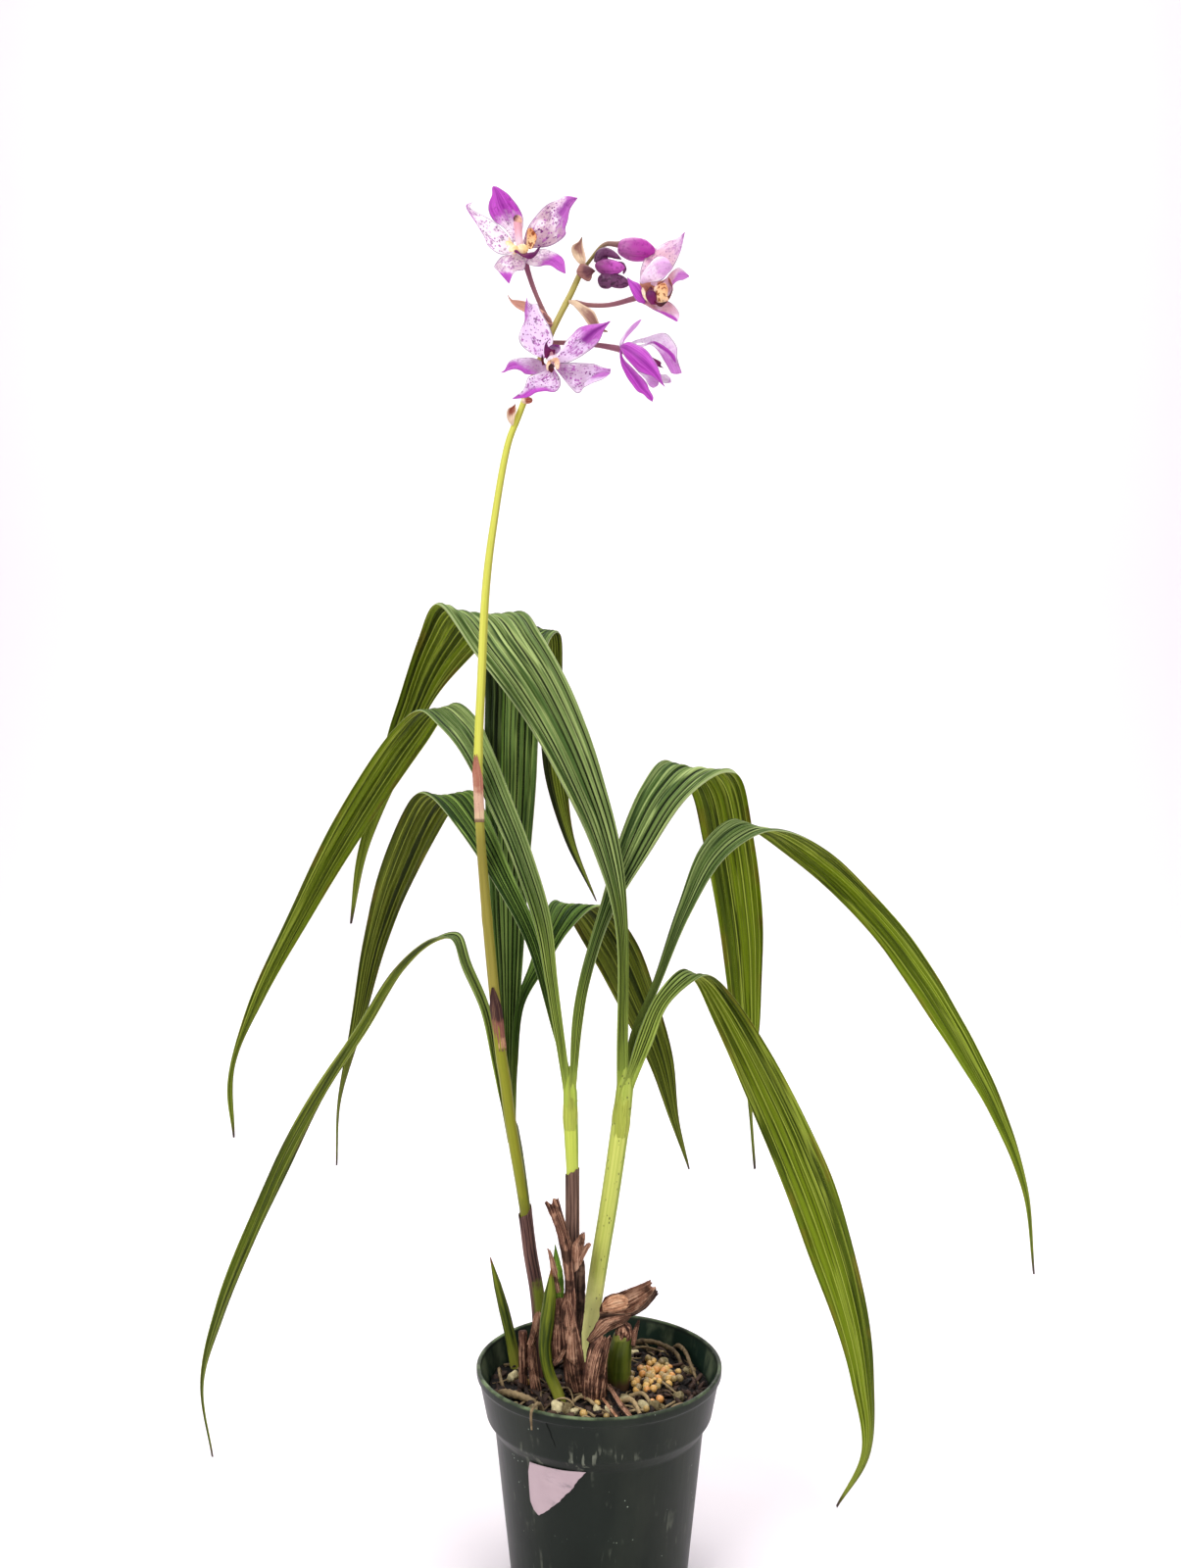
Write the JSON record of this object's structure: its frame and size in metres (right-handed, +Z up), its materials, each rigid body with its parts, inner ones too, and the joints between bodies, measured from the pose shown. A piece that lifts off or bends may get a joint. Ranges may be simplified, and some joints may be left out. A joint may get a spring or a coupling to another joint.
{
  "type": "potted ground orchid",
  "caption": "Terrestrial orchid with long arching pleated leaves and a tall flower spike of lilac and magenta blooms, rooted in bark mix in a round tapered nursery pot.",
  "frame": {"origin": "centre of the pot's flat base, on the surface the pot stands on", "axes": "+Z up along the pot's axis, +X to the right seen from the front, +Y to the back, away from the viewer"},
  "size_m": [0.4208, 0.1833, 0.6033],
  "materials": {
    "pot_green": "moulded dark green plastic, semi-matt, scuffed and dusty",
    "bark_mix": "damp dark bark and peat with beige pumice and amber feed prills",
    "leaf_green": "pleated living leaf, grey-green above, yellow-green below, satin",
    "stem_green": "pale yellow-green leaf bases with fine ribs, satin",
    "purple_sheath": "dry purple-brown sheath with tan edges, matt",
    "spike_olive": "golden olive stalk, fine dark speckle, satin",
    "bract_tan": "thin papery tan bract with pink-brown veins",
    "petal_magenta": "soft petal, white to lilac with magenta tips and purple-pink spots",
    "lip_purple": "dark purple and amber lip, waxy",
    "pedicel_purple": "dark purple-brown flower stalk, fine down",
    "bud_purple": "closed magenta bud with dark veins",
    "shoot_green": "young olive shoot with brown margins",
    "dry_sheath": "old fibrous leaf base, grey-brown, matt",
    "bulb_green": "dark green pseudobulb, lightly ribbed, satin",
    "label_paper": "torn blank paper label, smudged"
  },
  "bodies": {
    "root": {"pot": "pot_green", "potting_mix": "bark_mix", "stem_right": "stem_green", "sheath_middle": "purple_sheath", "stem_middle": "stem_green", "sheath_left": "purple_sheath", "stem_left": "stem_green", "leaf_right_tall": "leaf_green", "leaf_right_far": "leaf_green", "leaf_right_low": "leaf_green", "leaf_middle_long": "leaf_green", "leaf_middle_low": "leaf_green", "leaf_middle_right": "leaf_green", "leaf_left_narrow": "leaf_green", "leaf_left_tall": "leaf_green", "leaf_left_short": "leaf_green", "flower_spike": "spike_olive", "sheath_bract_upper": "bract_tan", "sheath_bract_lower": "purple_sheath", "bloom_1_tepals": "petal_magenta", "bloom_1_lip": "lip_purple", "bloom_1_stalk": "pedicel_purple", "bloom_2_tepals": "petal_magenta", "bloom_2_lip": "lip_purple", "bloom_2_stalk": "pedicel_purple", "bloom_3_tepals": "petal_magenta", "bloom_3_lip": "lip_purple", "bloom_3_stalk": "pedicel_purple", "bloom_4_tepals": "petal_magenta", "bloom_4_lip": "lip_purple", "bloom_4_stalk": "pedicel_purple", "bud_large": "bud_purple", "bud_stalk": "pedicel_purple", "bud_cluster": "bud_purple", "bract_top": "bract_tan", "bract_brown": "bract_tan", "bract_low": "bract_tan", "bract_left": "bract_tan", "bract_small": "bract_tan", "shoot_left": "shoot_green", "shoot_front": "shoot_green", "stub_left": "dry_sheath", "stub_small": "dry_sheath", "stub_ribbed": "dry_sheath", "pseudobulb": "bulb_green", "bulb_collar": "dry_sheath", "dry_sheath_tall": "dry_sheath", "dry_sheath_folded": "dry_sheath", "dry_strip": "dry_sheath", "blank_label": "label_paper"}
  },
  "joints": []
}
